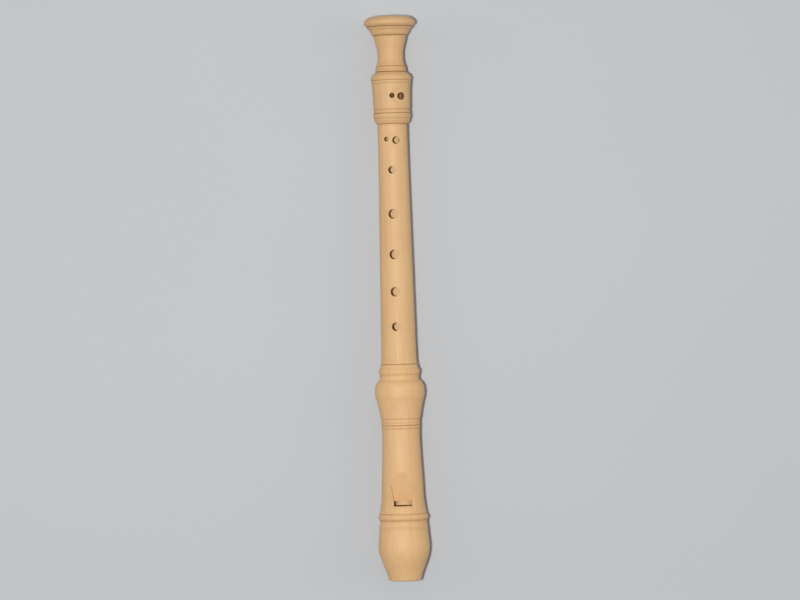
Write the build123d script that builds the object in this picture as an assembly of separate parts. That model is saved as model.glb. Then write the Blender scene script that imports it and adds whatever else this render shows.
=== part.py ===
from build123d import *
import os
from math import cos, hypot, radians, sin, tan

# Soprano recorder in three joints, lying on its back.
# Millimetres. +Y runs along the bore from the beak to the bell, the window faces +Z and +X is across.
# The origin is under the middle of the instrument, on the surface that it lies on.
# A station is a distance along the bore from the beak's tip.

# overall
LENGTH = 327.0
BELL_R = 14.9
BELL_RIM_BULGE = 0.25
AXIS_HEIGHT = BELL_R

# the three joints
HEAD_END = 125.2
FOOT_START = 264.7
SHOULDER_GAP = 0.16

# how far the middle and the foot are turned about the bore, from straight up towards +X
MIDDLE_TURN = -7.0
FOOT_TURN = 16.5

# bore
HEAD_BORE_R = 5.9
MIDDLE_BORE_TOP_R = 5.85
MIDDLE_BORE_END_R = 4.65
FOOT_BORE_TOP_R = 4.6
BELL_BORE_R = 4.3
BELL_BORE_START = 302.0
BORE_MOUTH_BREAK = 0.4

# sockets, tenons and their cork lappings
HEAD_SOCKET_R = 8.4
HEAD_SOCKET_DEPTH = 22.0
FOOT_SOCKET_R = 7.0
FOOT_SOCKET_DEPTH = 13.0
TENON_CLEARANCE = 0.2
TENON_END_GAP = 0.3
TENON_END_BREAK = 0.4
CORK_RECESS_DEPTH = 0.8
CORK_CLEARANCE = 0.03
CORK_END_BREAK = 0.3
CORK_END_BULGE = 0.08
HEAD_CORK_START = 107.0
HEAD_CORK_END = 119.5
FOOT_CORK_START = 267.5
FOOT_CORK_END = 274.5

# windway, window and labium; heights are above the bore's axis
WINDWAY_WIDTH = 10.6
WINDOW_START = 43.4
LABIUM = 46.35
ROOF_MOUTH_Z = 6.6
ROOF_EXIT_Z = 7.45
FLOOR_MOUTH_Z = 5.2
FLOOR_EXIT_Z = 6.5
EXIT_CHAMFER = 0.45
ROOF_BEVEL_START = 41.1
ROOF_BEVEL_START_R = 13.55
ROOF_EDGE_R = 12.3
LABIUM_TOP_Z = 7.1
LABIUM_UNDER_Z = 6.85
RAMP_LENGTH = 22.0
RAMP_SLOPE = 15.3
RAMP_FLARE = 9.2
UNDERCUT_LENGTH = 15.0
UNDERCUT_SLOPE = 17.5

# block and lip cut
BLOCK_CLEARANCE = 0.03
LIP_CUT_TIP_Z = -2.4
LIP_CUT_FAR_STATION = 30.0
LIP_CUT_FAR_Z = -18.2
LIP_CUT_HOLLOW = 2.55
LIP_EDGE_ROUND = 1.0

# finger holes: station, diameter and distance to the side of the joint's own middle line
HOLES_1_TO_5 = [(147.1, 4.8, 0), (167.3, 5.3, 0), (188.9, 5.4, 0), (212.3, 5.4, 0), (237.8, 4.1, 0)]
THUMB_HOLE = (139.5, 5.0, 0)
HOLE_6 = [(255.7, 2.7, -2.65), (254.95, 4.3, 2.8)]
HOLE_6_TUBE_R = 8.57
HOLE_7 = [(280.7, 2.9, -2.6), (280.3, 4.3, 2.8)]
HOLE_7_TUBE_R = 10.85
DISH_LENGTH = 8.2
DISH_DEPTH = 0.8
HOLE_RIM_ROUND = 0.25

# how far a cutter runs past what it cuts
PAST = 1.0

BORE_AXIS = Axis((0, 0, AXIS_HEIGHT), (0, 1, 0))


def y_at(station):
    """Row-frame Y of a distance from the beak's tip."""
    return station - LENGTH / 2


def turned(start, *cuts):
    """A solid of revolution about the bore.

    Each cut goes on from the last point: (station, radius) is straight, (station, radius, bulge) is an
    arc that stands out by bulge, and a list of points is one smooth sweep. The first and last points
    are closed to the axis.
    """
    def point(cut):
        return Vector(cut[1], y_at(cut[0]), 0)

    last = point(start)
    edges = [Line((0, last.Y), last)]
    for cut in cuts:
        if isinstance(cut, list):
            end = point(cut[-1])
            edges.append(Spline(last, *[point(knot) for knot in cut]))
        elif len(cut) == 3:
            end = point(cut)
            edges.append(SagittaArc(last, end, -cut[2]))
        else:
            end = point(cut)
            edges.append(Line(last, end))
        last = end
    edges.append(Line(last, (0, last.Y)))
    edges.append(Line((0, last.Y), (0, y_at(start[0]))))
    solid = revolve(make_face(edges), Axis.Y)
    return Pos(0, 0, AXIS_HEIGHT) * solid


def side_cut(outline, width):
    """A prism across the bore: (station, height above the axis) points, width wide."""
    points = [(y_at(station), height + AXIS_HEIGHT) for station, height in outline]
    face = make_face(Polyline(*points, close=True))
    return extrude(Plane.YZ * face, width / 2, both=True)


def notch(station, radius, depth=0.22, width=0.4):
    """Three cuts that make a turner's V groove starting at a station."""
    return [(station, radius), (station + width / 2, radius - depth), (station + width, radius)]


def across(station, angle, sideways=0):
    """A plane on the bore's axis, moved sideways, whose normal points out at an angle from up to +X."""
    outward = Vector(sin(radians(angle)), 0, cos(radians(angle)))
    aside = Vector(cos(radians(angle)), 0, -sin(radians(angle)))
    origin = Vector(0, y_at(station), AXIS_HEIGHT) + aside * sideways
    return Plane(origin, x_dir=(0, 1, 0), z_dir=outward)


def on_rim(edge, hole, angle):
    """Whether an edge lies on the outer rim of a finger hole."""
    station, diameter, sideways = hole
    plane = across(station, angle, sideways)
    for share in (0.05, 0.3, 0.6, 0.9):
        point = plane.to_local_coords(edge.position_at(share))
        if point.Z < HEAD_BORE_R + 0.5 or abs(hypot(point.X, point.Y) - diameter / 2) > 0.02:
            return False
    return True


def with_finger_holes(joint, holes, angle=0):
    """Drills holes into the bore, all the same way, and rounds their outer rims."""
    for station, diameter, sideways in holes:
        drill = Cylinder(diameter / 2, 2 * BELL_R, align=(Align.CENTER, Align.CENTER, Align.MIN))
        joint -= across(station, angle, sideways) * drill
    rims = [edge for edge in joint.edges() if any(on_rim(edge, hole, angle) for hole in holes)]
    return joint.fillet(HOLE_RIM_ROUND, rims)


def dish(pair, tube_r):
    """The shallow hollow that a double hole lies in."""
    half = DISH_LENGTH / 2
    radius = (half ** 2 + DISH_DEPTH ** 2) / (2 * DISH_DEPTH)
    cutter = Cylinder(radius, 2 * BELL_R, rotation=(90, 0, 0))
    station = (pair[0][0] + pair[1][0]) / 2
    return across(station, 0) * Pos(0, 0, tube_r - DISH_DEPTH + radius) * cutter


def head_outline():
    return turned(
        (0, 8.7),
        (0.9, 9.5, 0.2),
        [(6.5, 11.25), (12.4, 13.5), (16.0, 14.5), (19.9, BELL_R), (24.0, 14.6), (29.9, 14.15)],
        *notch(29.95, 14.15, depth=0.1, width=0.3),
        *notch(30.95, 14.15, depth=0.08, width=0.3),
        (34.7, 13.85, -0.33),
        *notch(34.8, 13.75, depth=0.15),
        (38.5, 13.75, 0.72),
        *notch(38.6, 13.7),
        [
            (40.2, 13.35), (42.4, 13.0), (45.5, 12.5), (52.4, 12.1),
            (69.8, 11.33), (84.9, 10.92), (87.8, 10.95),
        ],
        *notch(87.9, 10.98, depth=0.15, width=0.35),
        (89.7, 11.0, 0.2),
        (89.9, 10.78),
        (91.1, 11.05, 0.3),
        (91.3, 10.93),
        (93.3, 11.1, 0.22),
        (93.5, 11.04),
        (94.0, 11.54),
        (105.0, 13.7, -0.18),
        [(106.8, 14.25), (109.4, 14.42), (112.6, 14.12), (114.5, 13.22), (115.9, 12.05)],
        (116.1, 11.7),
        (119.0, 11.48, -0.3),
        (119.2, 11.32),
        (122.6, 11.62, 0.45),
        (122.8, 11.3),
        (124.95, 10.68, -0.05),
        (HEAD_END, 10.4),
    )


def windway_channel():
    """Mouth to window, then on under the labium until it runs out in the bore."""
    run_out = LABIUM + UNDERCUT_LENGTH
    outline = [
        (-PAST, 0),
        (-PAST, ROOF_MOUTH_Z),
        (WINDOW_START - EXIT_CHAMFER, ROOF_EXIT_Z),
        (WINDOW_START, ROOF_EXIT_Z + EXIT_CHAMFER),
        (LABIUM, ROOF_EXIT_Z + EXIT_CHAMFER),
        (LABIUM, LABIUM_UNDER_Z),
        (run_out, LABIUM_UNDER_Z - UNDERCUT_LENGTH * tan(radians(UNDERCUT_SLOPE))),
        (run_out, 0),
    ]
    return side_cut(outline, WINDWAY_WIDTH)


def window():
    """The opening between the roof's end and the labium."""
    outline = [
        (WINDOW_START, FLOOR_EXIT_Z),
        (WINDOW_START, BELL_R + PAST),
        (LABIUM, BELL_R + PAST),
        (LABIUM, FLOOR_EXIT_Z),
    ]
    return side_cut(outline, WINDWAY_WIDTH)


def ramp():
    """The slope above the labium, whose side walls flare towards the middle."""
    ramp_end = LABIUM + RAMP_LENGTH
    half = WINDWAY_WIDTH / 2
    half_far = half + RAMP_LENGTH * tan(radians(RAMP_FLARE))
    outline = [
        (LABIUM, LABIUM_TOP_Z),
        (LABIUM, BELL_R + PAST),
        (ramp_end, BELL_R + PAST),
        (ramp_end, LABIUM_TOP_Z + RAMP_LENGTH * tan(radians(RAMP_SLOPE))),
    ]
    plan = Polyline(
        (-half, y_at(LABIUM)),
        (half, y_at(LABIUM)),
        (half_far, y_at(ramp_end)),
        (-half_far, y_at(ramp_end)),
        close=True,
    )
    walls = extrude(make_face(plan), 2 * (AXIS_HEIGHT + PAST))
    return side_cut(outline, 2 * half_far) & walls


def roof_bevel():
    """The cone that bevels the roof's outer edge, as wide as the window."""
    outside = turned((ROOF_BEVEL_START, BELL_R), (WINDOW_START + PAST / 2, BELL_R))
    cone = turned(
        (ROOF_BEVEL_START, ROOF_BEVEL_START_R),
        (WINDOW_START, ROOF_EDGE_R),
        (WINDOW_START + PAST, ROOF_EDGE_R),
    )
    outline = [
        (ROOF_BEVEL_START - PAST, FLOOR_EXIT_Z),
        (ROOF_BEVEL_START - PAST, BELL_R + PAST),
        (LABIUM, BELL_R + PAST),
        (LABIUM, FLOOR_EXIT_Z),
    ]
    return (outside - cone) & side_cut(outline, WINDWAY_WIDTH)


def lip_cut():
    """The hollow on the underside of the beak, for the lower lip, with the tip's lower edge rounded."""
    def point(station, height):
        return Vector(y_at(station), height + AXIS_HEIGHT)

    below = LIP_CUT_FAR_Z - PAST
    before_tip = point(-PAST, LIP_CUT_TIP_Z + LIP_EDGE_ROUND)
    tip = point(0, LIP_CUT_TIP_Z + LIP_EDGE_ROUND)
    start = point(LIP_EDGE_ROUND, LIP_CUT_TIP_Z)
    end = point(LIP_CUT_FAR_STATION, LIP_CUT_FAR_Z)
    outline = [
        Line(before_tip, tip),
        RadiusArc(tip, start, -LIP_EDGE_ROUND),
        SagittaArc(start, end, LIP_CUT_HOLLOW),
        Polyline(end, point(LIP_CUT_FAR_STATION, below), point(-PAST, below), before_tip),
    ]
    return extrude(Plane.YZ * make_face(outline), BELL_R + PAST, both=True)


def head_joint():
    socket_start = HEAD_END - HEAD_SOCKET_DEPTH
    bore = turned(
        (-PAST, HEAD_BORE_R),
        (socket_start, HEAD_BORE_R),
        (socket_start, HEAD_SOCKET_R),
        (HEAD_END - BORE_MOUTH_BREAK, HEAD_SOCKET_R),
        (HEAD_END, HEAD_SOCKET_R + BORE_MOUTH_BREAK),
        (HEAD_END + PAST, HEAD_SOCKET_R + BORE_MOUTH_BREAK),
    )
    beak = head_outline() - bore - windway_channel() - lip_cut()
    return beak - window() - ramp() - roof_bevel()


def block():
    """The plug in the beak. Its raised top is the windway's floor."""
    plug_r = HEAD_BORE_R - BLOCK_CLEARANCE
    plug = turned((0, plug_r), (WINDOW_START, plug_r))
    floor = [
        (0, FLOOR_MOUTH_Z),
        (WINDOW_START - EXIT_CHAMFER, FLOOR_EXIT_Z),
        (WINDOW_START, FLOOR_EXIT_Z - EXIT_CHAMFER),
    ]
    tongue = side_cut([(0, 0), *floor, (WINDOW_START, 0)], WINDWAY_WIDTH - 2 * BLOCK_CLEARANCE)
    windway = side_cut([(0, BELL_R), *floor, (WINDOW_START, BELL_R)], 3 * HEAD_BORE_R)
    return plug + tongue - windway - lip_cut()


def middle_outline():
    """Both tenons with their cork recesses, and the tube between its shoulders."""
    head_tenon_r = HEAD_SOCKET_R - TENON_CLEARANCE
    foot_tenon_r = FOOT_SOCKET_R - TENON_CLEARANCE
    head_tenon_end = HEAD_END - HEAD_SOCKET_DEPTH + TENON_END_GAP
    foot_tenon_end = FOOT_START + FOOT_SOCKET_DEPTH - TENON_END_GAP
    shoulder = HEAD_END + SHOULDER_GAP
    lower_shoulder = FOOT_START - SHOULDER_GAP
    return turned(
        (head_tenon_end, head_tenon_r - TENON_END_BREAK),
        (head_tenon_end + TENON_END_BREAK, head_tenon_r),
        (HEAD_CORK_START, head_tenon_r),
        (HEAD_CORK_START, head_tenon_r - CORK_RECESS_DEPTH),
        (HEAD_CORK_END, head_tenon_r - CORK_RECESS_DEPTH),
        (HEAD_CORK_END, head_tenon_r),
        (shoulder, head_tenon_r),
        (shoulder, 10.25),
        (shoulder + 0.4, 10.52, 0.08),
        (shoulder + 6.0, 10.12, -0.13),
        [(162.0, 9.72), (209.0, 9.1), (250.0, 8.6), (lower_shoulder - 0.3, 8.6)],
        (lower_shoulder, 8.35),
        (lower_shoulder, foot_tenon_r),
        (FOOT_CORK_START, foot_tenon_r),
        (FOOT_CORK_START, foot_tenon_r - CORK_RECESS_DEPTH),
        (FOOT_CORK_END, foot_tenon_r - CORK_RECESS_DEPTH),
        (FOOT_CORK_END, foot_tenon_r),
        (foot_tenon_end - TENON_END_BREAK, foot_tenon_r),
        (foot_tenon_end, foot_tenon_r - TENON_END_BREAK),
    )


def middle_joint():
    start = HEAD_END - HEAD_SOCKET_DEPTH
    end = FOOT_START + FOOT_SOCKET_DEPTH
    joint = middle_outline() - turned((start, MIDDLE_BORE_TOP_R), (end, MIDDLE_BORE_END_R))
    joint = with_finger_holes(joint - dish(HOLE_6, HOLE_6_TUBE_R), HOLES_1_TO_5 + HOLE_6)
    return with_finger_holes(joint, [THUMB_HOLE], 180).rotate(BORE_AXIS, MIDDLE_TURN)


def cork(start, end, socket_r):
    """A lapping that fills a tenon's recess and stands up to the socket's wall."""
    outer = socket_r - CORK_CLEARANCE
    inner = socket_r - TENON_CLEARANCE - CORK_RECESS_DEPTH + CORK_CLEARANCE
    first = start + CORK_CLEARANCE
    last = end - CORK_CLEARANCE
    ring = turned(
        (first, outer - CORK_END_BREAK),
        (first + CORK_END_BREAK, outer, CORK_END_BULGE),
        (last - CORK_END_BREAK, outer),
        (last, outer - CORK_END_BREAK, CORK_END_BULGE),
    )
    return ring - turned((start - PAST, inner), (end + PAST, inner))


def foot_outline():
    return turned(
        (FOOT_START, 9.15),
        (267.65, 10.5, 0.18),
        (267.85, 10.36),
        (269.4, 10.85, 0.12),
        (270.5, 10.68, 0.05),
        (270.7, 10.33),
        (272.7, 10.45, 0.25),
        (272.9, 10.35),
        (273.2, 10.65),
        [(281.5, HOLE_7_TUBE_R), (285.5, 11.05), (287.9, 11.3)],
        (288.15, 11.15),
        (289.6, 11.4, 0.22),
        (289.8, 11.28),
        (290.0, 11.5),
        (291.9, 11.55, 0.22),
        [(293.1, 10.75), (294.0, 9.7), (294.5, 9.25)],
        (294.7, 8.65),
        (296.2, 8.75, 0.25),
        (296.4, 8.6),
        (297.8, 8.5, 0.22),
        (298.05, 8.05),
        (299.35, 8.03, 0.18),
        (299.55, 7.82),
        [(301.8, 7.45), (304.6, 7.35), (308.3, 7.75), (312.0, 8.75), (314.8, 9.3)],
        (315.75, 10.0, -0.09),
        (315.95, 9.78),
        (318.7, 11.4, 0.3),
        (320.7, 13.45, 0.06),
        (320.95, 13.22),
        (322.1, 14.6),
        (322.2, BELL_R - BELL_RIM_BULGE),
        (324.4, BELL_R - BELL_RIM_BULGE, BELL_RIM_BULGE),
        (326.7, 11.4, 0.25),
        (LENGTH, 7.9, 0.03),
    )


def foot_joint():
    socket_end = FOOT_START + FOOT_SOCKET_DEPTH
    bore = turned(
        (FOOT_START - PAST, FOOT_SOCKET_R + BORE_MOUTH_BREAK),
        (FOOT_START, FOOT_SOCKET_R + BORE_MOUTH_BREAK),
        (FOOT_START + BORE_MOUTH_BREAK, FOOT_SOCKET_R),
        (socket_end, FOOT_SOCKET_R),
        (socket_end, FOOT_BORE_TOP_R),
        (BELL_BORE_START, BELL_BORE_R),
        (LENGTH - BORE_MOUTH_BREAK, BELL_BORE_R),
        (LENGTH, BELL_BORE_R + BORE_MOUTH_BREAK),
        (LENGTH + PAST, BELL_BORE_R + BORE_MOUTH_BREAK),
    )
    joint = foot_outline() - bore - dish(HOLE_7, HOLE_7_TUBE_R)
    return with_finger_holes(joint, HOLE_7).rotate(BORE_AXIS, FOOT_TURN)


def write_parts():
    os.makedirs("parts", exist_ok=True)
    pieces = {
        "head_joint": head_joint(),
        "block": block(),
        "head_tenon_cork": cork(HEAD_CORK_START, HEAD_CORK_END, HEAD_SOCKET_R),
        "middle_joint": middle_joint(),
        "foot_tenon_cork": cork(FOOT_CORK_START, FOOT_CORK_END, FOOT_SOCKET_R),
        "foot_joint": foot_joint(),
    }
    for name, piece in pieces.items():
        export_step(piece, f"parts/{name}.step")


write_parts()
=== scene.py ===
import math

import bpy
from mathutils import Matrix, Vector


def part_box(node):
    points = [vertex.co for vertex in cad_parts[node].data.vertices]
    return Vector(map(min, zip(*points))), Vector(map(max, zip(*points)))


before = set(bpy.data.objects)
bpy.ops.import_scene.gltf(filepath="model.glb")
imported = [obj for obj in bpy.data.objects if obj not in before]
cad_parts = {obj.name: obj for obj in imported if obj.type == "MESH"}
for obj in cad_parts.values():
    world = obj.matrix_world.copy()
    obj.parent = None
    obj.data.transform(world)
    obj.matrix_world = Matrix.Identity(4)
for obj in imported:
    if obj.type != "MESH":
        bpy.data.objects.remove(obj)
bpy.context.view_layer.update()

# Soprano recorder lying on its back on a pale floor. Metres, in the CAD's frame: +Y runs along the bore
# from the beak to the bell, the window faces +Z. Patterns in the materials are in millimetres.

MM = 0.001

# the bore's height, from the round bell that the recorder lies on
FOOT_LOW, FOOT_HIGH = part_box("foot_joint")
AXIS_HEIGHT = (FOOT_LOW.z + FOOT_HIGH.z) / 2

# from the block's end to the middle of the window and its ramp
PAST_BLOCK_MM = 5.0

# the bores' walls lie within the first radius, and the outside beyond the second but for the lower tenon
BORE_MM = 6.3
OUTSIDE_MM = 7.0

# the wood's growth rings
RING_WIDTH_MM = 2.1
RING_SWAY_MM = 5.0

# how far away a surface closes in a turned line, and a finger hole's wall, for the painted shade there
LINE_REACH_MM = 1.2
HOLE_REACH_MM = 4.0

# the painted shade in the turned lines is cut to a tenth within the first distance of the window's middle,
# and full beyond the second
CREASE_SHADE_LOW_MM = 8.0
CREASE_SHADE_FULL_MM = 12.0

PALE_WOOD = (0.80, 0.510, 0.250)
TAN_WOOD = (0.775, 0.480, 0.228)
STREAK = (0.68, 0.390, 0.165)
LATE_WOOD = (0.58, 0.310, 0.125, 1)
FIBRE = (0.60, 0.330, 0.135, 1)
FLECK = (0.43, 0.210, 0.080, 1)
# painted light: the bore's paler colour stands in for light bouncing inside the bore
BORE_BOUNCE_LIGHT = (0.95, 0.66, 0.34, 1)
# painted shade, darkening the turned lines where the surface closes in
CREASE_SHADE = (0.33, 0.145, 0.045, 1)
# painted shade on the finger holes' walls
HOLE_WALL_SHADE = (0.22, 0.085, 0.022, 1)

CEDAR_PALE = (0.52, 0.25, 0.125, 1)
CEDAR_RED = (0.36, 0.145, 0.065, 1)
CEDAR_FIBRE = (0.25, 0.095, 0.045, 1)
CEDAR_LAYERS_PER_MM = (1.7, 0.01, 0.12)

CORK_PALE = (0.56, 0.36, 0.19, 1)
CORK_TAN = (0.40, 0.235, 0.115, 1)
CORK_GAP = (0.20, 0.105, 0.050, 1)
CORK_SPECK = (0.09, 0.045, 0.022, 1)
CORK_GRAINS_PER_MM = 1.3

FLOOR_PALE = (0.53, 0.55, 0.57, 1)
FLOOR_GREY = (0.50, 0.52, 0.545, 1)
FLOOR_HALF = 2.5

SKY = (0.92, 0.95, 1.0, 1)
SKY_STRENGTH = 0.20

# camera: looks straight down, turned a little about the vertical
CAMERA_ABOVE_BORE = 2.2
CAMERA_X = 1.6 * MM
CAMERA_Y = -1.0 * MM
CAMERA_TURN = -1.63
VIEW_WIDTH = 0.464
SENSOR_MM = 36.0
CLIP_END = 20.0


class Tree:
    """A material's node tree, with short calls to add nodes and join them."""

    def __init__(self, name):
        self.material = bpy.data.materials.new(name)
        self.material.use_nodes = True
        self.tree = self.material.node_tree
        self.tree.nodes.clear()

    def put(self, socket, value):
        if isinstance(value, bpy.types.NodeSocket):
            self.tree.links.new(value, socket)
        else:
            socket.default_value = value

    def node(self, kind, inputs=None, **settings):
        made = self.tree.nodes.new(kind)
        for name, value in settings.items():
            setattr(made, name, value)
        for key, value in (inputs or {}).items():
            self.put(made.inputs[key], value)
        return made

    def math(self, operation, a, b=0.0):
        return self.node("ShaderNodeMath", {0: a, 1: b}, operation=operation).outputs[0]

    def vector(self, operation, a, b):
        return self.node("ShaderNodeVectorMath", {0: a, 1: b}, operation=operation).outputs[0]

    def distance(self, a, b):
        made = self.node("ShaderNodeVectorMath", {0: a, 1: b}, operation="DISTANCE")
        return made.outputs["Value"]

    def noise(self, vector, scale, detail=2.0, roughness=0.5):
        """Smooth noise from 0 to 1, in the units of its vector."""
        inputs = {"Vector": vector, "Scale": scale, "Detail": detail, "Roughness": roughness}
        return self.node("ShaderNodeTexNoise", inputs).outputs["Fac"]

    def grain(self, place, across, along, detail=2.0, roughness=0.5):
        """Noise drawn out along the bore, with its repeats per millimetre across it and along it."""
        stretched = self.vector("MULTIPLY", place, (across, along, across))
        return self.noise(stretched, 1.0, detail, roughness)

    def fade(self, value, low, high, at_low=0.0, at_high=1.0):
        """A smooth step from at_low to at_high as value goes from low to high."""
        inputs = {"Value": value, "From Min": low, "From Max": high, "To Min": at_low, "To Max": at_high}
        made = self.node("ShaderNodeMapRange", inputs, interpolation_type="SMOOTHSTEP")
        return made.outputs["Result"]

    def mix(self, share, a, b):
        made = self.node("ShaderNodeMix", data_type="RGBA")
        self.put(made.inputs["Factor"], share)
        self.put(made.inputs["A"], a)
        self.put(made.inputs["B"], b)
        return made.outputs["Result"]

    def millimetres(self, offset=(0.0, 0.0, 0.0)):
        """Places on the object in millimetres, moved by offset so that no two pieces match."""
        place = self.node("ShaderNodeTexCoord").outputs["Object"]
        return self.vector("ADD", self.vector("MULTIPLY", place, (1000.0, 1000.0, 1000.0)), offset)

    def openness(self, reach_mm):
        """1 on an open face, and less where the piece's own surface closes in within a reach."""
        inputs = {"Distance": reach_mm * MM}
        made = self.node("ShaderNodeAmbientOcclusion", inputs, samples=8, only_local=True)
        return made.outputs["AO"]

    def finish(self, colour, roughness, height, bump_mm, **constants):
        """The shader, with a bump of bump_mm where height goes from 0 to 1."""
        bump = self.node("ShaderNodeBump", {"Height": height, "Distance": bump_mm * MM, "Strength": 1.0})
        shader = self.node("ShaderNodeBsdfPrincipled")
        self.put(shader.inputs["Base Color"], colour)
        self.put(shader.inputs["Roughness"], roughness)
        self.put(shader.inputs["Normal"], bump.outputs["Normal"])
        for name, value in constants.items():
            shader.inputs[name.replace("_", " ")].default_value = value
        output = self.node("ShaderNodeOutputMaterial")
        self.put(output.inputs["Surface"], shader.outputs["BSDF"])
        return self.material


def late_wood(t, place, tree_centre):
    """The dark edge of each growth ring. The rings are swaying shells about the tree's centre."""
    across_the_bore = (1.0, 0.0, 1.0)
    flat = t.vector("MULTIPLY", t.vector("SUBTRACT", place, tree_centre), across_the_bore)
    sway = t.math("MULTIPLY", t.grain(place, 0.05, 0.012), RING_SWAY_MM)
    reach = t.math("ADD", t.distance(flat, (0.0, 0.0, 0.0)), sway)
    ring = t.math("FRACT", t.math("DIVIDE", reach, RING_WIDTH_MM))
    return t.math("MULTIPLY", t.fade(ring, 0.55, 0.97), t.fade(ring, 1.0, 0.97))


def bore_distance(t):
    """How far a point lies from the bore's axis, in millimetres."""
    from_axis = t.vector("SUBTRACT", t.millimetres(), (0.0, 0.0, AXIS_HEIGHT / MM))
    return t.distance(t.vector("MULTIPLY", from_axis, (1.0, 0.0, 1.0)), (0.0, 0.0, 0.0))


def bounce_lit_bore(t, from_bore):
    """The bore's wall without the end faces round it, where a paler colour is painted as light bouncing
    inside the bore.
    """
    normal = t.node("ShaderNodeTexCoord").outputs["Normal"]
    end_facing = t.math("ABSOLUTE", t.node("ShaderNodeSeparateXYZ", {0: normal}).outputs["Y"])
    inside = t.fade(from_bore, BORE_MM, OUTSIDE_MM, 0.75, 0.0)
    return t.math("MULTIPLY", inside, t.fade(end_facing, 0.4, 0.8, 1.0, 0.0))


def painted_crease_shade(t, window):
    """Painted shade in the turned lines, darker where the surface closes in, with hardly any near the
    window.
    """
    crease_darkening = t.fade(t.openness(LINE_REACH_MM), 0.92, 0.50, 0.0, 0.80)
    if window:
        away = t.distance(t.millimetres(), window)
        crease_darkening = t.math("MULTIPLY", crease_darkening, t.fade(away, CREASE_SHADE_LOW_MM, CREASE_SHADE_FULL_MM, 0.1, 1.0))
    return crease_darkening


def painted_hole_shade(t, from_bore):
    """Painted shade on the walls of finger holes, between the bore and the outside."""
    closed = t.fade(t.openness(HOLE_REACH_MM), 0.80, 0.56, 0.0, 0.92)
    return t.math("MULTIPLY", closed, t.fade(from_bore, BORE_MM, OUTSIDE_MM))


def turned_wood(name, offset, tree_centre, shade, window=None):
    """Pale close-grained wood, turned and waxed, painted paler in the bore to stand in for light bouncing
    inside it.

    The tree's centre lies off the bore, so the turned bulges cut the growth rings in ovals. Each joint's
    wood is made a little lighter or darker by shade, as painted light and shade for light falling unevenly
    along the recorder. The turned lines and the finger holes' walls get painted shade. The joint with a
    window has no finger holes.
    """
    # painted light and shade: the joint's colours are scaled lighter or darker for light falling unevenly
    # along the recorder
    def light_falloff_tone(colour):
        return tuple(shade * channel for channel in colour) + (1,)

    t = Tree(name)
    place = t.millimetres(offset)
    clouds = t.noise(place, 0.03)
    streaks = t.grain(place, 0.5, 0.02, detail=3.0)
    fibres = t.grain(place, 3.2, 0.06, detail=4.0, roughness=0.6)
    flecks = t.fade(t.grain(place, 4.5, 0.7, detail=1.0), 0.66, 0.74)
    from_bore = bore_distance(t)

    colour = t.mix(t.fade(clouds, 0.35, 0.65), light_falloff_tone(PALE_WOOD), light_falloff_tone(TAN_WOOD))
    colour = t.mix(t.fade(streaks, 0.35, 0.7, 0.0, 0.28), colour, light_falloff_tone(STREAK))
    colour = t.mix(t.math("MULTIPLY", late_wood(t, place, tree_centre), 0.10), colour, LATE_WOOD)
    colour = t.mix(t.fade(fibres, 0.3, 0.75, 0.0, 0.20), colour, FIBRE)
    colour = t.mix(t.math("MULTIPLY", flecks, 0.25), colour, FLECK)
    # painted light: the bore's wall is made paler, for light bouncing inside the bore
    colour = t.mix(bounce_lit_bore(t, from_bore), colour, BORE_BOUNCE_LIGHT)
    # painted shade in the turned lines
    colour = t.mix(painted_crease_shade(t, window), colour, CREASE_SHADE)
    if not window:
        # painted shade on the finger holes' walls
        colour = t.mix(painted_hole_shade(t, from_bore), colour, HOLE_WALL_SHADE)

    roughness = t.fade(fibres, 0.2, 0.8, 0.56, 0.70)
    height = t.math("SUBTRACT", fibres, t.math("MULTIPLY", flecks, 0.6))
    return t.finish(colour, roughness, height, 0.010, Coat_Weight=0.04, Coat_Roughness=0.35)


def cedar(name):
    """The block's red cedar, dry and unfinished, with upright growth layers that run along it."""
    t = Tree(name)
    place = t.millimetres((3.0, 0.0, 11.0))
    layers = t.noise(t.vector("MULTIPLY", place, CEDAR_LAYERS_PER_MM), 1.0)
    fibres = t.grain(place, 5.0, 0.08, detail=4.0, roughness=0.65)
    colour = t.mix(t.fade(layers, 0.35, 0.65), CEDAR_PALE, CEDAR_RED)
    colour = t.mix(t.fade(fibres, 0.35, 0.75, 0.0, 0.4), colour, CEDAR_FIBRE)
    return t.finish(colour, t.fade(fibres, 0.2, 0.8, 0.6, 0.8), fibres, 0.02)


def sheet_cork(name):
    """Greased cork: pale grains with dark specks and gaps between them."""
    t = Tree(name)
    place = t.millimetres()
    voronoi = {"Vector": place, "Scale": CORK_GRAINS_PER_MM}
    cells = t.node("ShaderNodeTexVoronoi", voronoi)
    edges = t.node("ShaderNodeTexVoronoi", voronoi, feature="DISTANCE_TO_EDGE")
    grain = t.node("ShaderNodeSeparateColor", {"Color": cells.outputs["Color"]}).outputs["Red"]
    gaps = t.fade(edges.outputs["Distance"], 0.10, 0.02)
    specks = t.fade(t.noise(place, 2.2), 0.62, 0.70)
    colour = t.mix(grain, CORK_PALE, CORK_TAN)
    colour = t.mix(t.math("MULTIPLY", gaps, 0.6), colour, CORK_GAP)
    colour = t.mix(t.math("MULTIPLY", specks, 0.8), colour, CORK_SPECK)
    height = t.math("SUBTRACT", 1.0, t.math("MAXIMUM", gaps, specks))
    return t.finish(colour, t.fade(grain, 0.0, 1.0, 0.5, 0.7), height, 0.05)


def floor_material(name):
    """A plain pale floor, faintly clouded, with a fine tooth."""
    t = Tree(name)
    place = t.millimetres()
    colour = t.mix(t.noise(place, 0.004), FLOOR_PALE, FLOOR_GREY)
    return t.finish(colour, 0.6, t.noise(place, 1.2, detail=3.0), 0.02)


def paint(node, material):
    """Gives a CAD node its material in place of its own."""
    node_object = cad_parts[node]
    node_object.data.materials.clear()
    node_object.data.materials.append(material)


def window_middle():
    """The middle of the window and its ramp in millimetres, just past the block's end, on the top side."""
    block_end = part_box("block")[1].y
    return (0.0, block_end / MM + PAST_BLOCK_MM, 2 * AXIS_HEIGHT / MM)


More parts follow.
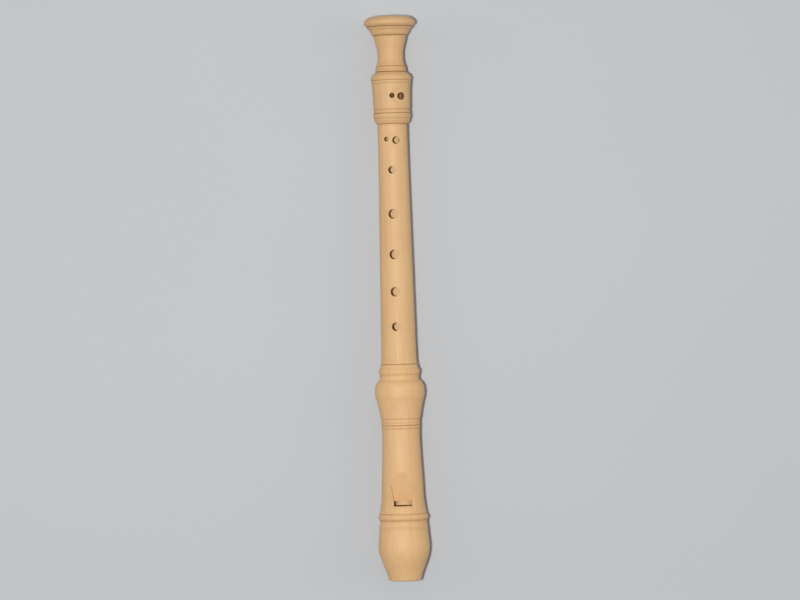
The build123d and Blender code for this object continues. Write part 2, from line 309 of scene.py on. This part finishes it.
def paint_pieces():
    window = window_middle()
    # each joint's fourth number is its painted light and shade: lighter at the head, darker at the foot
    paint("head_joint", turned_wood("head_wood", (0.0, 0.0, 0.0), (26.0, 0.0, -38.0), 1.02, window))
    paint("middle_joint", turned_wood("middle_wood", (31.0, 7.0, 15.0), (78.0, 0.0, 8.0), 0.98))
    paint("foot_joint", turned_wood("foot_wood", (-44.0, 23.0, 9.0), (-80.0, 0.0, 52.0), 0.93))
    paint("block", cedar("block_cedar"))
    cork = sheet_cork("tenon_cork")
    paint("head_tenon_cork", cork)
    paint("foot_tenon_cork", cork)


def make_floor():
    half = FLOOR_HALF
    mesh = bpy.data.meshes.new("floor")
    corners = [(-half, -half, 0), (half, -half, 0), (half, half, 0), (-half, half, 0)]
    mesh.from_pydata(corners, [], [(0, 1, 2, 3)])
    floor = bpy.data.objects.new("floor", mesh)
    bpy.context.scene.collection.objects.link(floor)
    mesh.materials.append(floor_material("pale_floor"))


def soft_light(name, place, size, watts, colour=(1.0, 1.0, 1.0)):
    """A square light that faces the middle of the recorder."""
    data = bpy.data.lights.new(name, "AREA")
    data.size = size
    data.energy = watts
    data.color = colour
    light = bpy.data.objects.new(name, data)
    light.location = place
    towards = Vector((0, 0, AXIS_HEIGHT)) - Vector(place)
    light.rotation_euler = towards.to_track_quat("-Z", "Y").to_euler()
    bpy.context.scene.collection.objects.link(light)


def make_lights():
    soft_light("key", (-0.175, -0.02, 2.05), 0.10, 27.5, (1.0, 0.985, 0.965))
    soft_light("right_fill", (1.5, 0.2, 0.9), 1.0, 4.5)
    soft_light("left_fill", (-1.5, 0.3, 0.9), 1.0, 3.0)
    soft_light("bell_fill", (0.0, 1.7, 1.0), 0.9, 4.0, (0.84, 0.92, 1.0))
    world = bpy.data.worlds.new("studio")
    world.use_nodes = True
    background = world.node_tree.nodes["Background"]
    background.inputs["Color"].default_value = SKY
    background.inputs["Strength"].default_value = SKY_STRENGTH
    bpy.context.scene.world = world


def make_camera():
    data = bpy.data.cameras.new("camera")
    data.sensor_width = SENSOR_MM
    data.lens = SENSOR_MM * CAMERA_ABOVE_BORE / VIEW_WIDTH
    data.clip_end = CLIP_END
    camera = bpy.data.objects.new("camera", data)
    camera.location = (CAMERA_X, CAMERA_Y, AXIS_HEIGHT + CAMERA_ABOVE_BORE)
    camera.rotation_euler = (0.0, 0.0, math.radians(CAMERA_TURN))
    bpy.context.scene.collection.objects.link(camera)
    bpy.context.scene.camera = camera


make_camera()
paint_pieces()
make_floor()
make_lights()
bpy.context.scene.view_settings.view_transform = "Standard"
